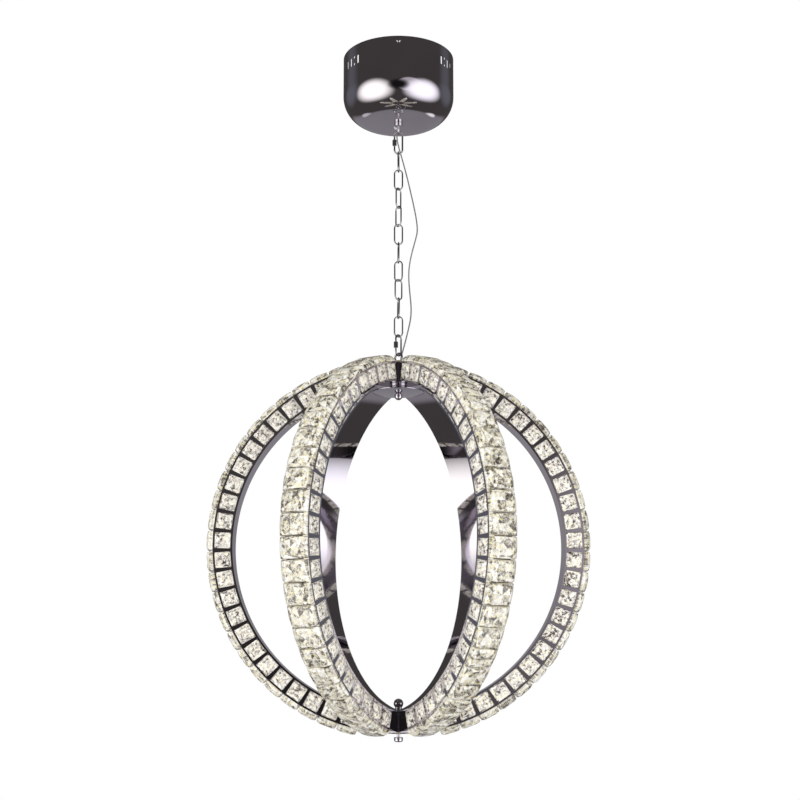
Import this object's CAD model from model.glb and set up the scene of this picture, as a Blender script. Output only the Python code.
# %% [markdown]
# # An orb chandelier, piece by piece
# Three crossed rings of cut crystal hang on a chain from a deep canopy. The packed
# model gives the construction at its real size, and this lesson gives each piece its
# finish. Everything is in metres, with +Z up and the origin where the canopy meets
# the ceiling. The viewer looks along +Y.

# %% Load the frame
import math

import bmesh
import bpy
import numpy as np
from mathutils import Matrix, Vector


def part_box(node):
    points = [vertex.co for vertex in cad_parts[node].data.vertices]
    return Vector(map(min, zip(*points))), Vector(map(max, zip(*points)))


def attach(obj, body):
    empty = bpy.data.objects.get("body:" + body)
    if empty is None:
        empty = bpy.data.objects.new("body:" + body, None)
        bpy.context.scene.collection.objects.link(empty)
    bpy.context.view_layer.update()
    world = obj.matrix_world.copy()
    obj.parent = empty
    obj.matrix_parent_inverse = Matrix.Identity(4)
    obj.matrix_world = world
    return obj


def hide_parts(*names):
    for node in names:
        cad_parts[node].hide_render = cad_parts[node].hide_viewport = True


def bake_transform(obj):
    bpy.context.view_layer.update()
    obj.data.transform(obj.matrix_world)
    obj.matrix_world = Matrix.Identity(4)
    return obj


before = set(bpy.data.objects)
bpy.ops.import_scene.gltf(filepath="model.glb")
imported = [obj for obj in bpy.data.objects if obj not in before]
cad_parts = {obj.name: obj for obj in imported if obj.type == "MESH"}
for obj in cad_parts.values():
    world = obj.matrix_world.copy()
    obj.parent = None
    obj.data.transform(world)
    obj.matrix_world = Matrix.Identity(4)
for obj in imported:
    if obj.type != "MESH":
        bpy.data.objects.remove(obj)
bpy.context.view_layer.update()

# %% [markdown]
# ## Sizes
# Places come from the nodes' boxes where a box gives them, so the dressed pieces sit
# where the solids do. The rest are the maker's own sizes.

# %% Sizes of the orb and its arcs
MM = 0.001
ORB = Vector((0, 0, (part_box("top_hub_cover")[1].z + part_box("bottom_hub_cover")[0].z) / 2))
ARCS = 6
ARC_AZIMUTHS = [math.radians(360 / ARCS * n) for n in range(ARCS)]
WINDOWS, FIRST_WINDOW = 25, 2
PITCHES_ROUND = 57  # as many window steps as would go round a whole ring
WINDOW_PITCH = math.radians(360 / PITCHES_ROUND)
WINDOW_ANGLES = WINDOW_PITCH * (FIRST_WINDOW + np.arange(WINDOWS))
BAND_RADIUS = 263 * MM
PLATE_RADIUS = 294 * MM
RING_WIDTH = 46 * MM
WINDOW_RADIUS = (BAND_RADIUS + PLATE_RADIUS) / 2
print("orb centre", tuple(round(c, 4) for c in ORB), "windows", len(WINDOW_ANGLES))

# %% [markdown]
# ## Mesh helpers
# Every new surface is a grid of points: rows run one way, columns the other, and each
# square of the grid is a face. Closing the grid in either direction joins its last
# row or column to its first.


# %% Grids to meshes
def grid_faces(rows, columns, wrap_rows=False, wrap_columns=False, start=0):
    """Corner numbers of every square of a grid, counted row by row."""
    last_row = rows if wrap_rows else rows - 1
    last_column = columns if wrap_columns else columns - 1
    r, c = np.meshgrid(np.arange(last_row), np.arange(last_column), indexing="ij")
    r2, c2 = (r + 1) % rows, (c + 1) % columns
    corners = [r * columns + c, r * columns + c2, r2 * columns + c2, r2 * columns + c]
    return (np.stack(corners, axis=-1).reshape(-1, 4) + start).tolist()


def new_piece(name, points, faces, smooth=True):
    """A mesh object from an array of points and a list of faces."""
    mesh = bpy.data.meshes.new(name)
    mesh.from_pydata(np.asarray(points, float).reshape(-1, 3).tolist(), [], faces)
    mesh.validate()
    mesh.polygons.foreach_set("use_smooth", np.full(len(mesh.polygons), smooth))
    piece = bpy.data.objects.new(name, mesh)
    bpy.context.scene.collection.objects.link(piece)
    return piece


def finish_piece(piece, body, slot, material, *nodes):
    """Give a piece its finish, its body and the nodes that it stands for."""
    piece.data.materials.clear()
    piece.data.materials.append(material)
    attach(piece, body)
    if nodes:
        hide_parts(*nodes)
    return piece


# %% [markdown]
# A turned piece is a profile spun about an upright axis. A wire piece is a circle
# carried along a path, so both are functions of two parameters: the place along the
# profile or the path, and the angle round the axis or the wire.


# %% Turned pieces
def turned(name, profile, at=(0, 0), sides=64, sharp=35):
    """Spin (radius, height) points: x = radius cos(t), y = radius sin(t), z = height."""
    profile = np.asarray(profile, float)
    turn = np.linspace(0, 2 * math.pi, sides, endpoint=False)
    points = np.empty((len(profile), sides, 3))
    points[..., 0] = at[0] + profile[:, :1] * np.cos(turn)
    points[..., 1] = at[1] + profile[:, :1] * np.sin(turn)
    points[..., 2] = profile[:, 1:2]
    faces = grid_faces(len(profile), sides, wrap_columns=True)
    piece = new_piece(name, points, faces)
    close_poles(piece, sharp)
    return piece


def close_poles(piece, sharp=35):
    """Merge the doubled points, point the faces outwards and mark the hard edges."""
    shape = bmesh.new()
    shape.from_mesh(piece.data)
    bmesh.ops.remove_doubles(shape, verts=shape.verts, dist=1e-6)
    flat = [face for face in shape.faces if face.calc_area() < 1e-14]
    bmesh.ops.delete(shape, geom=flat, context="FACES_ONLY")
    bmesh.ops.recalc_face_normals(shape, faces=shape.faces)
    shape.to_mesh(piece.data)
    shape.free()
    piece.data.set_sharp_from_angle(angle=math.radians(sharp))


def arc_points(centre, radius, start, end, count):
    """Points of a circular arc in the profile's plane, angles in degrees."""
    turn = np.radians(np.linspace(start, end, count))
    return np.stack(
        [centre[0] + radius * np.cos(turn), centre[1] + radius * np.sin(turn)], axis=-1
    )


# %% Wire pieces
def wire(name, path, radius, sides=16, closed=True):
    """Carry a circle along a path: each ring lies across the path's own direction."""
    path = np.asarray(path, float)
    if closed:
        along = np.roll(path, -1, axis=0) - np.roll(path, 1, axis=0)
    else:
        along = np.gradient(path, axis=0)
    along /= np.linalg.norm(along, axis=1, keepdims=True)
    across = np.cross(along, plane_normal(path))
    across /= np.linalg.norm(across, axis=1, keepdims=True)
    up = np.cross(along, across)
    turn = np.linspace(0, 2 * math.pi, sides, endpoint=False)[None, :, None]
    radius = np.broadcast_to(np.asarray(radius, float), (len(path),))[:, None, None]
    rings = path[:, None] + radius * (
        across[:, None] * np.cos(turn) + up[:, None] * np.sin(turn)
    )
    faces = grid_faces(len(path), sides, wrap_rows=closed, wrap_columns=True)
    if not closed:
        last = (len(path) - 1) * sides
        faces.append(list(range(sides))[::-1])
        faces.append(list(range(last, last + sides)))
    piece = new_piece(name, rings, faces)
    close_poles(piece)
    return piece


def plane_normal(path):
    """The direction that a path turns about least, found from its widest triangle."""
    middle = path.mean(axis=0)
    _, _, axes = np.linalg.svd(path - middle)
    return axes[2]


def oval_path(azimuth, middle, length, width, wire_radius, steps=12):
    """The middle line of an oval link: two straight bars joined by two half circles."""
    bend = width / 2 - wire_radius
    straight = length / 2 - width / 2
    turn = np.linspace(0, math.pi, steps)
    upper = np.stack([bend * np.cos(turn), straight + bend * np.sin(turn)], axis=-1)
    flat = np.vstack([upper, -upper])
    out = np.array([math.cos(azimuth), math.sin(azimuth), 0])
    return np.asarray(middle) + flat[:, :1] * out + flat[:, 1:] * np.array([0, 0, 1.0])


# %% [markdown]
# ## Finishes
# A finish is a small tree of shader nodes. Written as nodes it is long and hard to
# read, so one class stands for a socket and lets plain arithmetic add Math nodes, and
# another adds any other node by its type, its settings and its sockets. A finish made
# this way reads like its formula.


# %% Shader maths as plain arithmetic
class Signal:
    """One output socket; arithmetic on it adds Math nodes to its finish."""

    def __init__(self, finish, socket):
        self.finish = finish
        self.socket = socket

    def __add__(self, other):
        return self.finish.maths("ADD", self, other)

    def __sub__(self, other):
        return self.finish.maths("SUBTRACT", self, other)

    def __rsub__(self, other):
        return self.finish.maths("SUBTRACT", other, self)

    def __mul__(self, other):
        return self.finish.maths("MULTIPLY", self, other)

    __radd__ = __add__
    __rmul__ = __mul__


class Finish:
    """A material, or the world, whose nodes are added one call at a time."""

    def __init__(self, owner):
        owner.use_nodes = True
        self.owner = owner
        self.tree = owner.node_tree
        self.tree.nodes.clear()

    def plug(self, socket, value):
        if isinstance(value, Signal):
            self.tree.links.new(value.socket, socket)
        else:
            socket.default_value = value

    def node(self, kind, settings=None, sockets=None, output=0):
        made = self.tree.nodes.new(kind)
        for key, value in (settings or {}).items():
            if key == "stops":
                self.set_stops(made.color_ramp, value)
            else:
                setattr(made, key, value)
        for key, value in (sockets or {}).items():
            self.plug(made.inputs[key], value)
        return Signal(self, made.outputs[output]) if made.outputs else None

    def maths(self, operation, *values):
        """A Math node, also for what has no operator in Python, such as a maximum."""
        return self.node("ShaderNodeMath", {"operation": operation},
                         dict(enumerate(values)))

    def is_ray(self, kind):
        """1 for rays of one kind, such as those that a mirror sends back."""
        return self.node("ShaderNodeLightPath", None, None, f"Is {kind} Ray")

    def set_stops(self, ramp, stops):
        """A ramp starts with two stops; the rest are added at their places."""
        ramp.elements[0].position = stops[0][0]
        ramp.elements[1].position = stops[-1][0]
        for place, _ in stops[1:-1]:
            ramp.elements.new(place)
        for element, (_, colour) in zip(ramp.elements, stops):
            element.color = (*colour, 1)

    def finish_with(self, surface):
        kind = "World" if isinstance(self.owner, bpy.types.World) else "Material"
        self.node(f"ShaderNodeOutput{kind}", None, {"Surface": surface})
        return self.owner


def plain_finish(name, colour, **sockets):
    """One even finish: every value sits on the shader's own socket."""
    finish = Finish(bpy.data.materials.new(name))
    values = {"Base Color": (*colour, 1)} | {
        key.replace("_", " "): value for key, value in sockets.items()
    }
    return finish.finish_with(finish.node("ShaderNodeBsdfPrincipled", None, values))


# %% [markdown]
# Polished chrome takes its colour from the room. Here the tone of the plate is kept a
# little dark and purple-grey, and a faint cloud of polish marks moves the roughness,
# so that a wide mirror never looks like an even sheet. The clouds are worked out from
# the place on the object, so they stay put when the piece or the viewer moves.


# %% Metals
def mirror_finish(name, dark, light, smooth, dull, scale):
    """Roughness and tone follow a soft cloud: value = low + cloud (high - low)."""
    finish = Finish(bpy.data.materials.new(name))
    place = finish.node("ShaderNodeTexCoord", None, None, "Object")
    cloud = finish.node(
        "ShaderNodeTexNoise", None, {"Vector": place, "Scale": scale, "Detail": 3.0}
    )
    tone = finish.node("ShaderNodeValToRGB", {"stops": [(0.3, dark), (0.7, light)]},
                       {"Fac": cloud})
    sockets = {"Base Color": tone, "Metallic": 1.0,
               "Roughness": smooth + (dull - smooth) * cloud}
    return finish.finish_with(finish.node("ShaderNodeBsdfPrincipled", None, sockets))


CHROME = mirror_finish("mirror chrome", (0.56, 0.53, 0.57), (0.63, 0.60, 0.64),
                       smooth=0.02, dull=0.06, scale=9.0)
LINK_CHROME = mirror_finish("link chrome", (0.46, 0.45, 0.46), (0.56, 0.55, 0.56),
                            smooth=0.06, dull=0.14, scale=60.0)
SLEEVE_STEEL = mirror_finish("turned steel", (0.34, 0.34, 0.35), (0.46, 0.46, 0.47),
                             smooth=0.2, dull=0.34, scale=120.0)
ZINC = mirror_finish("bright zinc", (0.55, 0.56, 0.58), (0.68, 0.69, 0.70),
                     smooth=0.22, dull=0.38, scale=45.0)
BRASS = mirror_finish("turned brass", (0.62, 0.46, 0.19), (0.74, 0.58, 0.27),
                      smooth=0.18, dull=0.3, scale=80.0)
print("metals", [m.name for m in bpy.data.materials])

# %% [markdown]
# The crystals are cut glass, and each facet catches something else: white sky, the
# warm light strips behind, or a dark corner of the room. A facet is one face of the
# mesh, so each face carries its own number, drawn once with a fixed seed. Inside a
# facet the cuts of the stone's back show through as small diamonds, in a coarse and a
# fine grid that add their own numbers. A ramp turns the sum into a tone. Light also
# gets through the glass, so the shader lets some of it pass.


# %% Crystal finish
DIAMOND_GRAINS = (1.0, 2.3)
FACET_SHARE, COARSE_SHARE, FINE_SHARE = 0.36, 0.36, 0.28


def crystal_finish(name, stops, size, passing, glow):
    """Diamonds are whole numbers of u + v and u - v in the stone's own plane; tone =
    ramp(share of the facet's number + shares of the two diamonds' numbers)."""
    finish = Finish(bpy.data.materials.new(name))
    facet = finish.node("ShaderNodeAttribute", {"attribute_name": "facet"}, None, "Fac")
    cut = finish.node("ShaderNodeAttribute", {"attribute_name": "cut"}, None, "Vector")
    parts = finish.node("ShaderNodeSeparateXYZ", None, {0: cut}).socket.node.outputs
    u, v, stone = (Signal(finish, parts[axis]) * scale
                   for axis, scale in zip("XYZ", (1 / size, 1 / size, 1.0)))
    diamonds = []
    for grain in DIAMOND_GRAINS:
        across = finish.maths("FLOOR", (u + v) * grain)
        down = finish.maths("FLOOR", (u - v) * grain)
        where = finish.node("ShaderNodeCombineXYZ", None, {0: across, 1: down, 2: stone})
        diamonds.append(finish.node("ShaderNodeTexWhiteNoise",
                                    {"noise_dimensions": "3D"}, {"Vector": where}))
    coarse, fine = diamonds
    number = FACET_SHARE * facet + COARSE_SHARE * coarse + FINE_SHARE * fine
    tone = finish.node("ShaderNodeValToRGB", {"stops": stops}, {"Fac": number})
    sockets = {
        "Base Color": tone,
        "Roughness": 0.08,
        "IOR": 1.52,
        "Transmission Weight": passing,
        "Coat Weight": 0.35,
        "Coat Roughness": 0.03,
        "Emission Color": tone,
        "Emission Strength": glow,
    }
    return finish.finish_with(finish.node("ShaderNodeBsdfPrincipled", None, sockets))


# %% Tones of the two crystals, then plastics and cord
# place on the ramp, colour
FACET_TONES = [
    (0.18, (0.03, 0.026, 0.022)),
    (0.29, (0.12, 0.10, 0.09)),
    (0.36, (0.42, 0.385, 0.35)),
    (0.48, (0.66, 0.62, 0.58)),
    (0.53, (0.71, 0.68, 0.64)),
    (0.545, (0.86, 0.75, 0.36)),
    (0.56, (0.74, 0.71, 0.68)),
    (0.60, (0.80, 0.78, 0.75)),
    (0.68, (0.97, 0.96, 0.93)),
    (0.74, (0.86, 0.75, 0.36)),
    (0.80, (1.0, 0.99, 0.96)),
]
RIM_TONES = [
    (0.24, (0.06, 0.05, 0.04)),
    (0.33, (0.19, 0.17, 0.145)),
    (0.39, (0.43, 0.40, 0.36)),
    (0.43, (0.62, 0.56, 0.38)),
    (0.46, (0.60, 0.58, 0.55)),
    (0.51, (0.66, 0.645, 0.62)),
    (0.525, (0.88, 0.76, 0.32)),
    (0.545, (0.88, 0.76, 0.32)),
    (0.56, (0.70, 0.685, 0.67)),
    (0.62, (0.78, 0.77, 0.75)),
    (0.65, (0.88, 0.77, 0.32)),
    (0.68, (0.88, 0.87, 0.86)),
    (0.76, (0.97, 0.96, 0.94)),
]
WINDOW_CRYSTAL = crystal_finish("window crystal", FACET_TONES,
                                size=5.2, passing=0.12, glow=0.08)
RIM_CRYSTAL = crystal_finish("rim crystal", RIM_TONES,
                             size=6.0, passing=0.15, glow=0.05)

DRIVER_PLASTIC = plain_finish("driver housing", (0.84, 0.84, 0.82), Roughness=0.45)
TERMINAL_NYLON = plain_finish("terminal nylon", (0.86, 0.85, 0.80), Roughness=0.35)
GLAND_NYLON = plain_finish(
    "clear grey nylon", (0.66, 0.67, 0.69), Roughness=0.22, Transmission_Weight=0.25
)
CORD_SHEATH = plain_finish(
    "silvery clear cord", (0.22, 0.222, 0.23), Roughness=0.3, Metallic=0.3,
    Coat_Weight=0.5, Coat_Roughness=0.1
)
print("finishes", len(bpy.data.materials))


# %% [markdown]
# The light strips are warm silicone over a row of diodes. Each diode shows as a paler
# patch. Its place comes from the height on the orb, which is near enough to the length
# along the strip over most of a ring.


# %% Light strip with its row of diodes
DIODE_PITCH = 8 * MM
DIODE_SHARE = 0.35


def strip_finish(name, centre, pitch):
    """A diode shows where the height folded at each pitch is under a share of the pitch."""
    finish = Finish(bpy.data.materials.new(name))
    place = finish.node("ShaderNodeTexCoord", None, None, "Object")
    parts = finish.node("ShaderNodeSeparateXYZ", None, {0: place})
    height = Signal(finish, parts.socket.node.outputs["Z"]) - centre
    steps = finish.maths("PINGPONG", height, pitch)
    diode = finish.maths("LESS_THAN", steps, pitch * DIODE_SHARE)
    colour = finish.node(
        "ShaderNodeMix", {"data_type": "RGBA"},
        {0: diode, 6: (0.93, 0.88, 0.72, 1), 7: (1.0, 0.97, 0.88, 1)}, 2
    )
    sockets = {"Base Color": colour, "Roughness": 0.4,
               "Emission Color": colour, "Emission Strength": 0.9}
    return finish.finish_with(finish.node("ShaderNodeBsdfPrincipled", None, sockets))


LIGHT_STRIP = strip_finish("warm light strip", ORB.z, DIODE_PITCH)
print("strip pitch", DIODE_PITCH)


# %% [markdown]
# ## Pieces kept as built
# Folded sheet, nuts, screws and housings already have their true shape in the packed
# model, so they only take a finish. A face with a hard edge keeps it, because the
# solids come with their own loose faces.

# %% Finishes of the pieces that keep their solids
KEPT = {
    "mounting_strap": ZINC, "rod_nuts": ZINC, "floor_washer": ZINC, "hub_screws": ZINC,
    "earth_screw": BRASS, "canopy_screws": CHROME, "led_driver": DRIVER_PLASTIC,
    "terminal_block": TERMINAL_NYLON, "top_hub_collar": CHROME,
    "top_hub_cover": CHROME, "bottom_hub_collar": CHROME, "bottom_hub_cover": CHROME,
    "led_strips": LIGHT_STRIP,
}
for node_name, material in KEPT.items():
    kept = bpy.data.objects[node_name]
    kept.data.materials.clear()
    kept.data.materials.append(material)
print("kept as built", len(KEPT))

# %% [markdown]
# ## Canopy
# The canopy is drawn from sheet: a straight wall, a wide round corner and a flat floor
# with a hole for the rod. A profile of the outside and the inside is spun once, in rows
# close enough that the reflections bend evenly, and the vents are cut through
# afterwards, as on the real one.

# %% Canopy shell
CANOPY_RADIUS, CANOPY_HEIGHT, CANOPY_WALL = 91.7 * MM, 109 * MM, 1 * MM
CANOPY_CORNER = 44 * MM
ROD_HOLE = 4.3 * MM
RIM_ROUND = 0.3 * MM
VENT_HEIGHT, VENT_RADIUS = -26 * MM, 1.9 * MM
SLOT_HALF = 5.35 * MM  # from the middle of a slot to the centre of its round end
HOLE_OFFSET = 5.9 * MM
SLOT_AZIMUTHS = [-65.0, -57.7, -46.1, 49.9, 61.2, 68.3]
HOLE_AZIMUTHS = [-51.9, 55.6]
CUTTER_START, CUTTER_END = 80 * MM, 95 * MM


def canopy_profile():
    """Floor, corner and wall outside, then wall, corner and floor inside."""
    bend = (CANOPY_RADIUS - CANOPY_CORNER, CANOPY_CORNER - CANOPY_HEIGHT)
    flat_out = np.stack(
        [np.linspace(ROD_HOLE, bend[0], 8), np.full(8, -CANOPY_HEIGHT)], axis=-1
    )
    corner_out = arc_points(bend, CANOPY_CORNER, -90, 0, 33)
    rows = np.linspace(bend[1], -RIM_ROUND, 24)
    wall_out = np.stack([np.full(24, CANOPY_RADIUS), rows], axis=-1)
    inner = CANOPY_RADIUS - CANOPY_WALL
    lip = np.array([[CANOPY_RADIUS - RIM_ROUND, 0], [inner, 0]])
    rows = np.linspace(-CANOPY_WALL, bend[1], 12)
    wall_in = np.stack([np.full(12, inner), rows], axis=-1)
    corner_in = arc_points(bend, CANOPY_CORNER - CANOPY_WALL, 0, -90, 17)
    floor_in = np.array([[ROD_HOLE, CANOPY_WALL - CANOPY_HEIGHT]])
    parts = [flat_out, corner_out[1:], wall_out[1:], lip, wall_in, corner_in[1:], floor_in]
    return np.vstack([*parts, flat_out[:1]])


def vent_cutters():
    """Slots as thin boxes and holes as short bars, each lying along its own radius."""
    points, faces = [], []
    slot = np.vstack([arc_points((0, SLOT_HALF), VENT_RADIUS, 0, 180, 9),
                      arc_points((0, -SLOT_HALF), VENT_RADIUS, 180, 360, 9)])
    hole = arc_points((0, 0), VENT_RADIUS, 0, 360, 17)[:-1]
    jobs = [(azimuth, slot, 0) for azimuth in SLOT_AZIMUTHS]
    jobs += [(azimuth, hole, rise) for azimuth in HOLE_AZIMUTHS
             for rise in (-HOLE_OFFSET, HOLE_OFFSET)]
    for azimuth, outline, rise in jobs + [(a + 180, o, r) for a, o, r in jobs]:
        across = math.radians(azimuth)
        out = np.array([math.sin(across), -math.cos(across), 0])
        side = np.array([math.cos(across), math.sin(across), 0])
        ring = outline[:, :1] * side + outline[:, 1:] * np.array([0, 0, 1.0])
        ring += np.array([0, 0, VENT_HEIGHT + rise])
        start, count = len(points), len(outline)
        points += list(ring + out * CUTTER_START) + list(ring + out * CUTTER_END)
        faces += grid_faces(2, count, wrap_columns=True, start=start)
        faces.append(list(range(start, start + count))[::-1])
        faces.append(list(range(start + count, start + 2 * count)))
    cutter = new_piece("vent_cutter", np.array(points), faces, smooth=False)
    close_poles(cutter)
    return cutter


canopy = turned("canopy_bowl", canopy_profile(), sides=192)
cutter = vent_cutters()
cut = canopy.modifiers.new("vents", "BOOLEAN")
cut.object = cutter
cut.solver = "EXACT"
shaped = bpy.data.meshes.new_from_object(
    canopy.evaluated_get(bpy.context.evaluated_depsgraph_get())
)
canopy.modifiers.clear()
canopy.data = shaped
canopy.data.set_sharp_from_angle(angle=math.radians(32))
bpy.data.objects.remove(cutter)
finish_piece(canopy, "ceiling", "polished_chrome", CHROME, "canopy_shell")
print("canopy faces", len(canopy.data.polygons))

# %% [markdown]
# ## Rings
# Each half ring is folded sheet: two pierced side plates, an inner band and an end
# plate at each hub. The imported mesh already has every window, so a merged copy is
# taken, its flat faces stay flat, its band shades round, and a hair-thin bevel lets
# the cut edges of the sheet catch the light.


# %% Half rings of folded sheet
CUT_EDGE = 0.25 * MM


def merged_copy(node_name, piece_name, sharp):
    """A copy of a solid's mesh with its loose triangles joined into one surface."""
    source = bpy.data.objects[node_name]
    piece = bpy.data.objects.new(piece_name, source.data.copy())
    bpy.context.scene.collection.objects.link(piece)
    piece.data.polygons.foreach_set(
        "use_smooth", np.ones(len(piece.data.polygons), bool)
    )
    close_poles(piece, sharp)
    return piece


for number in range(1, ARCS + 1):
    half_ring = merged_copy(f"arc_frame_{number}", f"half_ring_{number}", 25)
    edge = half_ring.modifiers.new("sheet edge", "BEVEL")
    edge.width = CUT_EDGE
    edge.limit_method = "ANGLE"
    edge.angle_limit = math.radians(40)
    edge.harden_normals = True
    finish_piece(half_ring, "orb", "polished_chrome", CHROME, f"arc_frame_{number}")
print("half ring faces", len(half_ring.data.polygons))

# %% [markdown]
# The inner band is the widest mirror of the lamp, and a mirror shows every flat of a
# coarse mesh. So a polished strip is laid on it: a closed, very thin sheet whose
# points lie on a true circle, two hundred steps from hub to hub.


# %% Polished inner strips
HUB_REACH, HUB_GAP = 41 * MM, 0.2 * MM
STRIP_PROUD, STRIP_SUNK = 0.25 * MM, 0.4 * MM


def band_strip(name, azimuth, steps=200):
    """Point = r (sin a, cos a) in the ring's plane, with r and the side at each corner."""
    hub = math.asin((HUB_REACH + HUB_GAP) / BAND_RADIUS)
    angle = np.linspace(hub, math.pi - hub, steps)
    half = RING_WIDTH / 2
    near, far = BAND_RADIUS - STRIP_PROUD, BAND_RADIUS + STRIP_SUNK
    corners = [(near, -half), (near, half), (far, half), (far, -half)]
    rows = np.array([[(r * s, r * c, side) for r, side in corners]
                     for s, c in zip(np.sin(angle), np.cos(angle))])
    ca, sa = math.cos(azimuth), math.sin(azimuth)
    points = np.stack([rows[..., 0] * ca - rows[..., 2] * sa,
                       rows[..., 0] * sa + rows[..., 2] * ca,
                       rows[..., 1] + ORB.z], axis=-1)
    faces = grid_faces(steps, 4, wrap_columns=True)
    faces += [(3, 2, 1, 0), tuple(4 * (steps - 1) + k for k in range(4))]
    piece = new_piece(name, points, faces)
    close_poles(piece, 40)
    return piece


for number, azimuth in enumerate(ARC_AZIMUTHS, start=1):
    strip = band_strip(f"band_strip_{number}", azimuth)
    finish_piece(strip, "orb", "polished_chrome", CHROME)
print("strip faces", len(strip.data.polygons))

# %% [markdown]
# ## Cut crystals
# A cut stone is a stack of eight-sided rings. Where one ring is turned by half a step
# and the next isn't, the faces between them are triangles, and those give a cut stone
# its stars. One stone is only a few dozen faces, and the whole set of an arc is placed
# at once: each stone has three directions and an origin, and every point of it is
# origin + u along + v across + w out.


# %% One cut stone and a whole set
def stone_ring(half_u, half_v, rise, cut, turned_ring):
    """Eight points round a cut-cornered rectangle, or round the middles of its sides."""
    u, v = half_u, half_v
    if turned_ring:
        k = 1 - cut
        flat = [(u, 0), (u * k, v * k), (0, v), (-u * k, v * k),
                (-u, 0), (-u * k, -v * k), (0, -v), (u * k, -v * k)]
    else:
        a, b = u * (1 - cut), v * (1 - cut)
        flat = [(u, -b), (u, b), (a, v), (-a, v), (-u, b), (-u, -b), (-a, -v), (a, -v)]
    return [(x, y, rise) for x, y in flat]


def stone_faces(kinds):
    """Triangles between rings of the two kinds, squares between rings of one kind."""
    faces = []
    for level, (low_turned, high_turned) in enumerate(zip(kinds, kinds[1:])):
        low, high = 8 * level, 8 * level + 8
        for i in range(8):
            j = (i + 1) % 8
            if low_turned == high_turned:
                faces.append((low + i, low + j, high + j, high + i))
            elif high_turned:
                faces.append((low + i, low + j, high + i))
                faces.append((high + i, low + j, high + j))
            else:
                faces.append((low + i, low + j, high + j))
                faces.append((low + i, high + j, high + i))
    bottom, top, last = 8 * len(kinds), 8 * len(kinds) + 1, 8 * len(kinds) - 8
    for i in range(8):
        j = (i + 1) % 8
        faces.append((bottom, j, i))
        faces.append((top, last + i, last + j))
    return faces


def cut_stones(name, rings, culet, crown, frames, seed):
    """Place one stone at every frame and give every facet its own drawn number."""
    points = [point for ring in rings for point in stone_ring(*ring)]
    points = np.array([*points, (0, 0, culet), (0, 0, crown)]) * MM
    template = stone_faces([ring[4] for ring in rings])
    origin, along, across, out = frames
    placed = (origin[:, None] + points[None, :, :1] * along[:, None]
              + points[None, :, 1:2] * across[:, None]
              + points[None, :, 2:] * out[:, None])
    faces = [tuple(corner + n * len(points) for corner in face)
             for n in range(len(origin)) for face in template]
    piece = new_piece(name, placed, faces, smooth=False)
    draw = np.random.default_rng(seed).random(len(faces)).astype(np.float32)
    facet = piece.data.attributes.new("facet", "FLOAT", "FACE")
    facet.data.foreach_set("value", draw)
    local = np.broadcast_to(points / MM, placed.shape).copy()
    local[..., 2] = np.arange(len(origin))[:, None] + 0.5 + seed
    cut = piece.data.attributes.new("cut", "FLOAT_VECTOR", "POINT")
    cut.data.foreach_set("vector", local.astype(np.float32).ravel())
    return piece


def arc_directions(azimuth):
    """Outward, along and sideways directions of the ring at each window's angle."""
    s, c = np.sin(WINDOW_ANGLES), np.cos(WINDOW_ANGLES)
    ca, sa = math.cos(azimuth), math.sin(azimuth)
    outward = np.stack([s * ca, s * sa, c], axis=-1)
    along = np.stack([c * ca, c * sa, -s], axis=-1)
    side = np.broadcast_to([-sa, ca, 0.0], along.shape)
    return outward, along, side


def window_frames(azimuth):
    """One stone in each window, on both side plates."""
    outward, along, side = arc_directions(azimuth)
    both = []
    for face in (1, -1):
        origin = np.array(ORB) + WINDOW_RADIUS * outward + face * RING_WIDTH / 2 * side
        both.append((origin, -face * along, outward, face * side))
    return [np.concatenate(parts) for parts in zip(*both)]


def rim_frames(azimuth):
    """One long stone across the rim over each window."""
    outward, along, side = arc_directions(azimuth)
    return [np.array(ORB) + PLATE_RADIUS * outward, along, side, outward]


# %% Crystals of the six half rings
# in mm: half length, half width, rise; then share of the corner cut away, turned ring
WINDOW_STONE = [
    (12.2, 12.2, -1.1, 0.16, False),
    (12.2, 12.2, 0.3, 0.16, False),
    (10.6, 10.6, 1.5, 0.10, True),
    (7.4, 7.4, 2.7, 0.42, False),
    (4.6, 4.6, 3.4, 0.28, True),
]
RIM_STONE = [
    (15.7, 22.9, 0.2, 0.06, False),
    (15.7, 22.9, 2.4, 0.06, False),
    (15.8, 21.2, 6.4, 0.08, True),
    (15.1, 17.4, 9.2, 0.26, False),
    (12.0, 14.2, 10.9, 0.20, True),
]
WINDOW_CULET, WINDOW_CROWN = -4.2, 3.6
RIM_CULET, RIM_CROWN = -3.4, 11.0
for number, azimuth in enumerate(ARC_AZIMUTHS, start=1):
    windows = cut_stones(f"side_stones_{number}", WINDOW_STONE, WINDOW_CULET,
                         WINDOW_CROWN, window_frames(azimuth), 100 + number)
    finish_piece(windows, "orb", "window_crystal", WINDOW_CRYSTAL,
                 f"window_crystals_{number}")
    rims = cut_stones(f"rim_stones_{number}", RIM_STONE, RIM_CULET,
                      RIM_CROWN, rim_frames(azimuth), 200 + number)
    finish_piece(rims, "orb", "rim_crystal", RIM_CRYSTAL, f"rim_crystals_{number}")
print("stone faces", len(windows.data.polygons), len(rims.data.polygons))

# %% [markdown]
# ## Chain
# The links are round wire bent to an oval and welded, so a circle is carried along the
# oval's middle line. Each link turns to its own side, as a chain does when it hangs,
# and its place is the middle of the solid's box. The two quick links are open at a
# gate, and a six-sided sleeve on the thread closes it.


# %% Oval links
def middle_of(node_name):
    """The middle and the height of a node's box."""
    low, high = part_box(node_name)
    return (low + high) / 2, high.z - low.z


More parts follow.
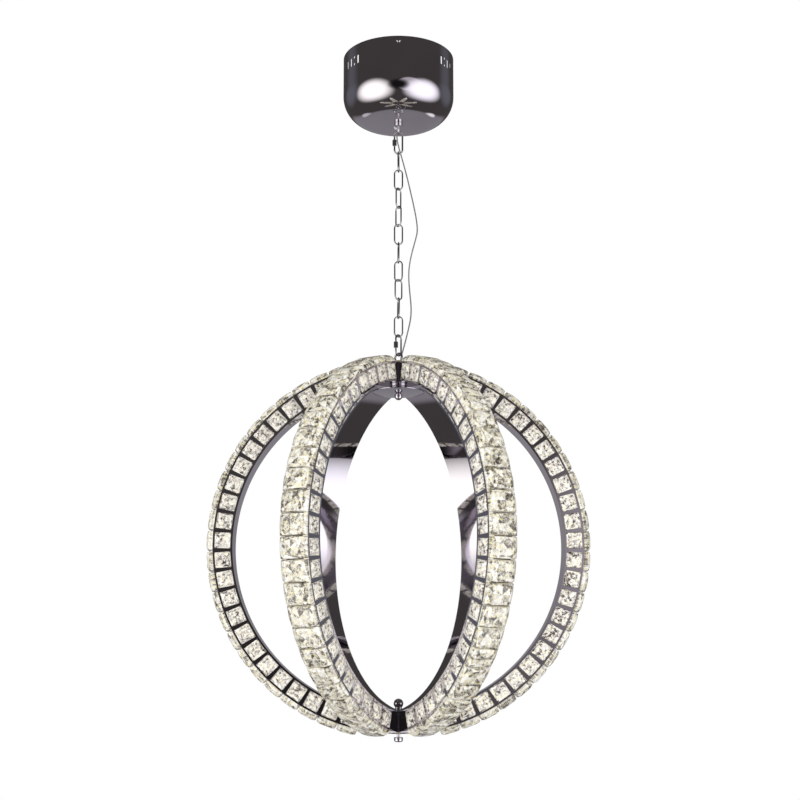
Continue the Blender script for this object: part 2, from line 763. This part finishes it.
LINK_TURNS = [85, 0, 55, 130, 10, 95, -20, 35, 100, 5]
LINK_WIRE, LINK_WIDTH = 2.4 * MM, 15.5 * MM
for number, turn in enumerate(LINK_TURNS, start=1):
    node_name = f"chain_link_{number:02d}"
    middle, height = middle_of(node_name)
    path = oval_path(math.radians(turn), (0, 0, middle.z), height, LINK_WIDTH, LINK_WIRE / 2)
    link = wire(f"oval_link_{number:02d}", path, LINK_WIRE / 2)
    finish_piece(link, f"link_{number:02d}", "link_steel", LINK_CHROME, node_name)
print("link faces", len(link.data.polygons))

# %% Quick links and their sleeves
QUICK_WIRE, QUICK_WIDTH = 2.8 * MM, 15.9 * MM
GATE_GAP, GATE_DROP = 2.6 * MM, 3.2 * MM
GATE_BAR = (QUICK_WIDTH - QUICK_WIRE) / 2
THREAD_HALF, THREAD_SHARE = 8 * MM, 0.9
SLEEVE_RADIUS, SLEEVE_CLEARANCE, SLEEVE_EDGE = 3.5 * MM, 0.15 * MM, 0.5 * MM


def quick_link_path(azimuth, middle_z, length):
    """The oval, opened at the gate: it starts above the gap and ends below it."""
    out = np.array([math.cos(azimuth), math.sin(azimuth), 0])
    bend = GATE_BAR
    straight = (length - QUICK_WIDTH) / 2
    upper, lower = GATE_GAP / 2 - GATE_DROP, -GATE_GAP / 2 - GATE_DROP
    steps = np.linspace(upper, straight, 14, endpoint=False)
    first = np.stack([np.full(14, -bend), steps], axis=-1)
    top = arc_points((0, straight), bend, 180, 0, 20)
    bottom = arc_points((0, -straight), bend, 0, -180, 20)
    steps = np.linspace(lower, -straight, 8, endpoint=False)[::-1]
    flat = np.vstack([first, top, bottom, np.stack([np.full(8, -bend), steps], axis=-1)])
    return np.array([0, 0, middle_z]) + flat[:, :1] * out + flat[:, 1:] * [0, 0, 1.0]


def thread_swell(path, azimuth, middle_z):
    """Wire radius along the gate's bar: fine ridges where the thread is, else plain."""
    out = np.array([math.cos(azimuth), math.sin(azimuth), 0])
    beside = path @ out
    height = path[:, 2] - middle_z + GATE_DROP
    on_bar = (beside < -0.99 * GATE_BAR) & (abs(height) < THREAD_HALF)
    ridge = np.where(np.arange(len(path)) % 2 == 0, 1.0, THREAD_SHARE)
    return QUICK_WIRE / 2 * np.where(on_bar, ridge, 1.0)


def sleeve_profile(height):
    """A collar with chamfered ends and a bore, ready to spin."""
    outer, bore, edge = SLEEVE_RADIUS, QUICK_WIRE / 2 + SLEEVE_CLEARANCE, SLEEVE_EDGE
    half = height / 2
    return np.array([
        (bore, -half), (outer - edge, -half), (outer, edge - half),
        (outer, half - edge), (outer - edge, half), (bore, half), (bore, -half),
    ])


for place, turn in (("upper", 0), ("lower", 50)):
    azimuth = math.radians(turn)
    node_name = f"quick_link_{place}"
    middle, height = middle_of(node_name)
    path = quick_link_path(azimuth, middle.z, height)
    quick = wire(f"screw_link_{place}", path, thread_swell(path, azimuth, middle.z),
                 closed=False)
    finish_piece(quick, f"{place}_quick_link", "link_steel", LINK_CHROME, node_name)
    sleeve_middle, sleeve_height = middle_of(f"{node_name}_sleeve")
    at = (-GATE_BAR * math.cos(azimuth), -GATE_BAR * math.sin(azimuth))
    profile = sleeve_profile(sleeve_height) + [0, sleeve_middle.z]
    sleeve = turned(f"screw_sleeve_{place}", profile, at, sides=6)
    finish_piece(sleeve, f"{place}_sleeve", "sleeve_steel", SLEEVE_STEEL,
                 f"{node_name}_sleeve")
print("sleeve faces", len(sleeve.data.polygons))

# %% [markdown]
# Both loops are a ring of wire welded to a round collar. The ring is a closed wire
# path and the collar is spun, with a small round where the two meet a flat face.


# %% Loops on the canopy and on the orb
LOOP_WIRE, LOOP_RADIUS = 3.5 * MM, 9 * MM
COLLAR_RADIUS, COLLAR_HEIGHT, COLLAR_EDGE = 6.5 * MM, 5.6 * MM, 0.5 * MM
CANOPY_EYE_TURN, ORB_EYE_TURN = math.radians(90), math.radians(-40)


def loop_ring(name, azimuth, centre_z):
    """A circle of the wire's middle line, standing in the plane of its azimuth."""
    turn = np.linspace(0, 2 * math.pi, 48, endpoint=False)
    out = np.array([math.cos(azimuth), math.sin(azimuth), 0])
    bend = LOOP_RADIUS - LOOP_WIRE / 2
    path = bend * (np.cos(turn)[:, None] * out + np.sin(turn)[:, None] * [0, 0, 1.0])
    return wire(name, path + [0, 0, centre_z], LOOP_WIRE / 2, sides=20)


def rounded_bar(radius, low, high, edge, steps=5):
    """Profile of a solid bar whose two rims are rounded."""
    lower = arc_points((radius - edge, low + edge), edge, -90, 0, steps)
    upper = arc_points((radius - edge, high - edge), edge, 0, 90, steps)
    return np.vstack([[(0, low)], lower, upper, [(0, high)]])


low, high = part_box("canopy_loop")
canopy_eye = loop_ring("canopy_eye", CANOPY_EYE_TURN, low.z + LOOP_RADIUS)
finish_piece(canopy_eye, "ceiling", "polished_chrome", CHROME, "canopy_loop")
profile = rounded_bar(COLLAR_RADIUS, high.z - COLLAR_HEIGHT, high.z, COLLAR_EDGE)
finish_piece(turned("canopy_eye_collar", profile), "ceiling", "polished_chrome", CHROME)

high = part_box("orb_loop")[1]
cover_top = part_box("top_hub_cover")[1].z
orb_eye = loop_ring("orb_eye", ORB_EYE_TURN, high.z - LOOP_RADIUS)
finish_piece(orb_eye, "orb", "link_steel", LINK_CHROME, "orb_loop")
neck_top = high.z - 2 * LOOP_RADIUS + LOOP_WIRE / 2
profile = rounded_bar(COLLAR_RADIUS, cover_top, neck_top, COLLAR_EDGE)
finish_piece(turned("orb_eye_neck", profile), "orb", "polished_chrome", CHROME)
print("loop faces", len(canopy_eye.data.polygons), len(orb_eye.data.polygons))

# %% [markdown]
# The mirror disc, its spacer, the ball nuts, the bolt and the cap are turned parts:
# each is one profile spun about the upright axis. The balls are full rounds cut flat
# where they seat, and the disc's rim is rolled over.

# %% Disc, balls, bolt and cap
DISC_EDGE, FINE_EDGE, NUT_EDGE = 0.9 * MM, 0.3 * MM, 0.4 * MM
UPPER_BALL, LOWER_BALL, LOWER_NECK = 6.5 * MM, 7.7 * MM, 5.4 * MM
CAP_DOME = 3.4 * MM


def chromed_turning(name, profile, sides, node_name):
    """A polished turned piece of the orb in the place of its solid."""
    piece = turned(name, profile, sides=sides)
    return finish_piece(piece, "orb", "polished_chrome", CHROME, node_name)


for name, node_name, edge, sides in (
    ("mirror_disc", "top_disc", DISC_EDGE, 160),
    ("disc_spacer", "top_disc_spacer", FINE_EDGE, 96),
):
    low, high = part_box(node_name)
    chromed_turning(name, rounded_bar(high.x, low.z, high.z, edge), sides, node_name)

low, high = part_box("top_ball_nut")
middle_z = low.z + UPPER_BALL
seat = math.degrees(math.asin((high.z - middle_z) / UPPER_BALL))
ball = arc_points((0, middle_z), UPPER_BALL, -90, seat, 33)
chromed_turning("upper_ball", np.vstack([ball, [(0, high.z)]]), 72, "top_ball_nut")

low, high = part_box("bottom_ball_nut")
meet = -math.degrees(math.acos(LOWER_NECK / LOWER_BALL))
neck = [(0, low.z), (LOWER_NECK - NUT_EDGE, low.z), (LOWER_NECK, low.z + NUT_EDGE)]
ball = arc_points((0, high.z - LOWER_BALL), LOWER_BALL, meet, 90, 33)
chromed_turning("lower_ball", np.vstack([neck, ball]), 72, "bottom_ball_nut")

low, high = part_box("bottom_bolt")
profile = rounded_bar(high.x, low.z, high.z, FINE_EDGE)
chromed_turning("lower_bolt", profile, 40, "bottom_bolt")

low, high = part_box("bottom_cap_nut")
dome = arc_points((high.x - CAP_DOME, low.z + CAP_DOME), CAP_DOME, -90, 0, 17)
rim = arc_points((high.x - NUT_EDGE, high.z - NUT_EDGE), NUT_EDGE, 0, 90, 5)
profile = np.vstack([[(0, low.z)], dome, rim, [(0, high.z)]])
cap = chromed_turning("lower_cap", profile, 72, "bottom_cap_nut")
print("cap faces", len(cap.data.polygons))

# %% [markdown]
# The hanging rod is threaded all along. A real thread winds, but its ridges are a third
# of a millimetre high and out of sight in the canopy, so plain ridges round the rod
# are enough. The gland and the grommet are turned nylon bushes round the cord.

# %% Rod, gland and grommet
ROD_END, RIDGE_HEIGHT, RIDGES = 0.5 * MM, 0.35 * MM, 160
CORD_RADIUS = 1.1 * MM
GLAND_BUSH, GLAND_TIP, GLAND_TAPER = 4.6 * MM, 2.6 * MM, 2.4 * MM
GROMMET_BUSH, GROMMET_EDGE = 4.2 * MM, 1 * MM


def footprint(node_name):
    """The middle of a node's box seen from above, and half its width."""
    low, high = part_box(node_name)
    return ((low.x + high.x) / 2, (low.y + high.y) / 2), (high.x - low.x) / 2


low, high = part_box("hanging_rod")
steps = np.linspace(low.z + ROD_END, high.z - ROD_END, RIDGES)
ridges = high.x - RIDGE_HEIGHT * (np.arange(RIDGES) % 2)
profile = np.vstack([[(0, low.z)], np.stack([ridges, steps], axis=-1), [(0, high.z)]])
finish_piece(turned("threaded_rod", profile, sides=32, sharp=80), "ceiling",
             "zinc_steel", ZINC, "hanging_rod")

low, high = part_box("cord_gland")
at, flange = footprint("cord_gland")
floor_top = CANOPY_WALL - CANOPY_HEIGHT
profile = [
    (CORD_RADIUS, low.z), (GLAND_TIP, low.z), (GLAND_BUSH, low.z + GLAND_TAPER),
    (GLAND_BUSH, floor_top), (flange, floor_top), (flange, high.z),
    (CORD_RADIUS, high.z), (CORD_RADIUS, low.z),
]
finish_piece(turned("gland_bush", profile, at, sides=48), "ceiling", "gland_plastic",
             GLAND_NYLON, "cord_gland")

low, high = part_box("cord_grommet")
at, flange = footprint("cord_grommet")
profile = [
    (CORD_RADIUS, low.z), (GROMMET_BUSH, low.z), (GROMMET_BUSH, cover_top),
    (flange, cover_top), (flange, high.z - GROMMET_EDGE),
    (flange - GROMMET_EDGE, high.z), (CORD_RADIUS, high.z), (CORD_RADIUS, low.z),
]
finish_piece(turned("grommet_bush", profile, at, sides=48), "orb", "gland_plastic",
             GLAND_NYLON, "cord_grommet")
print("fittings done")

# %% [markdown]
# ## Power cord
# The cord hangs beside the chain and bends with it. Its line is a NURBS spline of
# order 3 that starts and ends straight. It is cut into thirteen lengths as equal as its
# points allow, one beside each pivot of the chain. Each length bends from the body
# above its pivot to the body below, so that the ends still meet when the chain sways.


# %% The cord's line
CORD_ROUTE = MM * np.array([
    (-3.0, 17.0, -113.0), (-3.0, 17.0, -126.1), (-0.4, 17.6, -141.1),
    (5.8, 19.0, -162.5), (14.4, 20.6, -194.6), (22.2, 19.4, -229.9),
    (28.2, 15.4, -259.9), (31.1, 11.2, -282.3), (31.1, 9.0, -294.1),
    (28.4, 8.2, -305.9), (23.3, 9.5, -324.1), (18.7, 12.8, -343.3),
    (16.5, 16.6, -363.7), (18.3, 19.6, -390.4), (21.0, 19.0, -416.1),
    (20.6, 16.8, -435.4), (17.1, 14.8, -453.5), (11.7, 13.8, -476.0),
    (6.6, 14.2, -495.3), (3.2, 14.4, -508.1), (3.2, 14.4, -520.4),
])


def spline_points(route, steps=14):
    """The route's smooth line: a NURBS spline of order 3 with the route as its controls."""
    curve = bpy.data.curves.new("cord_route", "CURVE")
    curve.dimensions = "3D"
    spline = curve.splines.new("NURBS")
    spline.points.add(len(route) - 1)
    for control, place in zip(spline.points, route):
        control.co = (*place, 1)
    spline.order_u = 3
    spline.use_endpoint_u = True
    spline.resolution_u = steps
    holder = bpy.data.objects.new("cord_route", curve)
    mesh = bpy.data.meshes.new_from_object(holder)
    points = np.array([vertex.co for vertex in mesh.vertices], dtype=float)
    bpy.data.meshes.remove(mesh)
    bpy.data.objects.remove(holder)
    bpy.data.curves.remove(curve)
    return points


def cord_tube(name, path, directions, radius, sides=10):
    """Circles across the cord's direction, with one side always kept towards +Y."""
    across = np.cross(directions, [0, 1.0, 0])
    across /= np.linalg.norm(across, axis=1, keepdims=True)
    up = np.cross(across, directions)
    turn = np.linspace(0, 2 * math.pi, sides, endpoint=False)[None, :, None]
    rings = path[:, None] + radius * (
        across[:, None] * np.cos(turn) + up[:, None] * np.sin(turn)
    )
    faces = grid_faces(len(path), sides, wrap_columns=True)
    last = (len(path) - 1) * sides
    faces += [tuple(range(sides))[::-1], tuple(range(last, last + sides))]
    piece = new_piece(name, rings, faces)
    close_poles(piece, 60)
    return piece


CHAIN_BODIES = ["ceiling", "upper_quick_link"]
CHAIN_BODIES += [f"link_{n:02d}" for n in range(1, 11)]
CHAIN_BODIES += ["lower_quick_link", "orb"]
LENGTHS = len(CHAIN_BODIES) - 1
line = spline_points(CORD_ROUTE)
run = np.concatenate([[0], np.cumsum(np.linalg.norm(np.diff(line, axis=0), axis=1))])
ends = np.linspace(0, run[-1], LENGTHS + 1)
cuts = np.abs(run[:, None] - ends).argmin(axis=0)
headings = np.gradient(line, axis=0)
headings /= np.linalg.norm(headings, axis=1, keepdims=True)
for n, (above, below) in enumerate(zip(CHAIN_BODIES, CHAIN_BODIES[1:])):
    part = slice(cuts[n], cuts[n + 1] + 1)
    length = cord_tube(f"cord_length_{n + 1:02d}", line[part], headings[part], CORD_RADIUS)
    length.data.materials.append(CORD_SHEATH)
    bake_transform(length)
    if n == 0:
        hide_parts("power_cord")
print("cord length", round(run[-1], 4), "in lengths of", np.diff(run[cuts]).round(4))

# %% [markdown]
# ## Room, light and viewer
# A mirror shows its room, so the room matters as much as the finish. It is made of
# round patches of light on a dark ground: a grey backdrop and pale sides behind the
# object, and two wide umbrellas with a dark gap between them on the viewer's side,
# which give the bright blobs low on the canopy. The viewer's own rays, and those
# through the glass, see plain white. Two soft lamps that no mirror shows give the plain
# light a side to come from. The floor is pale and keeps the shadow.


# %% The room
DARK_GROUND = (0.07, 0.064, 0.062, 1)
EVEN_GREY = (0.80, 0.80, 0.80, 1)
# direction, angle of the even part, angle where it ends, colour
SOFT_LIGHTS = [
    ((0.0, 0.95, -0.30), 21, 30, (0.28, 0.267, 0.29)),  # backdrop, low
    ((-0.30, 0.80, -0.575), 1, 7, (0.7, 0.7, 0.72)),  # bright foot of the backdrop, left
    ((0.30, 0.80, -0.575), 1, 7, (1.2, 1.2, 1.2)),  # bright foot of the backdrop, right
    ((0.41, -0.89, -0.24), 24, 30, (0.62, 0.58, 0.62)),  # grey wall, front right
    ((-0.74, -0.47, -0.40), 10, 47, (2.0, 1.97, 1.9)),  # umbrella, left
    ((0.74, -0.47, -0.40), 10, 47, (1.9, 1.9, 2.0)),  # umbrella, right
    ((0.0, -0.94, -0.26), 8, 26, (0.012, 0.011, 0.012)),  # dark gap between them
    ((-0.90, 0.42, 0.10), 0, 30, (0.16, 0.165, 0.19)),  # pale side, behind left
    ((0.90, 0.42, 0.10), 0, 30, (0.16, 0.165, 0.19)),  # pale side, behind right
]


def build_room():
    """A patch of light fades with the cosine between a ray and its own direction, and
    dull surfaces are lit by an even grey."""
    world = bpy.data.worlds.new("studio")
    bpy.context.scene.world = world
    room = Finish(world)
    ray = room.node("ShaderNodeTexCoord", None, None, "Generated")
    mixed = DARK_GROUND
    for aim, even, edge, colour in SOFT_LIGHTS:
        aim = Vector(aim).normalized()
        near = room.node("ShaderNodeVectorMath", {"operation": "DOT_PRODUCT"},
                         {0: ray, 1: aim}, "Value")
        share = room.node(
            "ShaderNodeMapRange", {"interpolation_type": "SMOOTHSTEP"},
            {"Value": near, "From Min": math.cos(math.radians(edge)),
             "From Max": math.cos(math.radians(even))})
        mixed = room.node("ShaderNodeMix", {"data_type": "RGBA"},
                          {0: share, 6: mixed, 7: (*colour, 1)}, 2)
    even = room.node("ShaderNodeMix", {"data_type": "RGBA"},
                     {0: room.is_ray("Diffuse"), 6: mixed, 7: EVEN_GREY}, 2)
    white = room.maths("MAXIMUM", room.is_ray("Camera"), room.is_ray("Transmission"))
    colour = room.node("ShaderNodeMix", {"data_type": "RGBA"},
                       {0: white, 6: even, 7: (1, 1, 1, 1)}, 2)
    room.finish_with(room.node("ShaderNodeBackground", None,
                               {"Color": colour, "Strength": 1.0}))


build_room()
print("patches of light", len(SOFT_LIGHTS))


# %% Soft lamps
LAMP_AIM = (0, 0, -0.6)


def soft_lamp(name, at, aim, size, power):
    """A square lamp whose own -Z points from its place to its aim."""
    data = bpy.data.lights.new(name, "AREA")
    data.size = size
    data.energy = power
    lamp = bpy.data.objects.new(name, data)
    lamp.location = at
    lamp.rotation_euler = (Vector(aim) - Vector(at)).to_track_quat("-Z", "Y").to_euler()
    lamp.visible_glossy = False
    bpy.context.scene.collection.objects.link(lamp)
    return lamp


soft_lamp("left soft box", (-1.7, -2.0, -0.5), LAMP_AIM, size=0.55, power=26)
soft_lamp("right soft box", (1.5, -2.1, -0.4), LAMP_AIM, size=0.5, power=20)
print("lamps", len(bpy.data.lights))


# %% The floor
FLOOR_HEIGHT, FLOOR_HALF = -2.07, 9
FLOOR_LIFT = 0.24


def floor_finish():
    """Pale paint that the viewer, mirrors and glass see a little brighter."""
    finish = Finish(bpy.data.materials.new("pale floor"))
    lift = finish.maths("MAXIMUM", finish.is_ray("Glossy"), finish.is_ray("Transmission"))
    lift = finish.maths("MAXIMUM", lift, finish.is_ray("Camera"))
    sockets = {"Base Color": (0.93, 0.93, 0.93, 1), "Roughness": 0.9,
               "Emission Color": (1, 1, 1, 1), "Emission Strength": FLOOR_LIFT * lift}
    return finish.finish_with(finish.node("ShaderNodeBsdfPrincipled", None, sockets))


floor_mesh = bpy.data.meshes.new("floor")
floor_corners = [(x * FLOOR_HALF, y * FLOOR_HALF, FLOOR_HEIGHT)
                 for x, y in ((-1, -1), (1, -1), (1, 1), (-1, 1))]
floor_mesh.from_pydata(floor_corners, [], [(0, 1, 2, 3)])
floor = bpy.data.objects.new("floor", floor_mesh)
bpy.context.scene.collection.objects.link(floor)
floor_mesh.materials.append(floor_finish())
floor.visible_glossy = False
print("floor at", FLOOR_HEIGHT)

# %% [markdown]
# The viewer stands below the canopy and looks up a little, so the canopy's floor and
# the top disc's underside show. A small shift of the picture puts the lamp in place.

# %% The viewer
VIEW_POINT = (0, -2.156, -1.0095)
UPWARD_TILT = 7.27
camera_data = bpy.data.cameras.new("viewer")
camera = bpy.data.objects.new("viewer", camera_data)
bpy.context.scene.collection.objects.link(camera)
bpy.context.scene.camera = camera
camera_data.lens = 60.9
camera_data.shift_x = 0.0019
camera_data.shift_y = 0.12
camera.location = VIEW_POINT
camera.rotation_euler = (math.radians(90 + UPWARD_TILT), 0, 0)
bpy.context.scene.view_settings.view_transform = "Standard"
print("lens", camera_data.lens, "tilt", UPWARD_TILT)
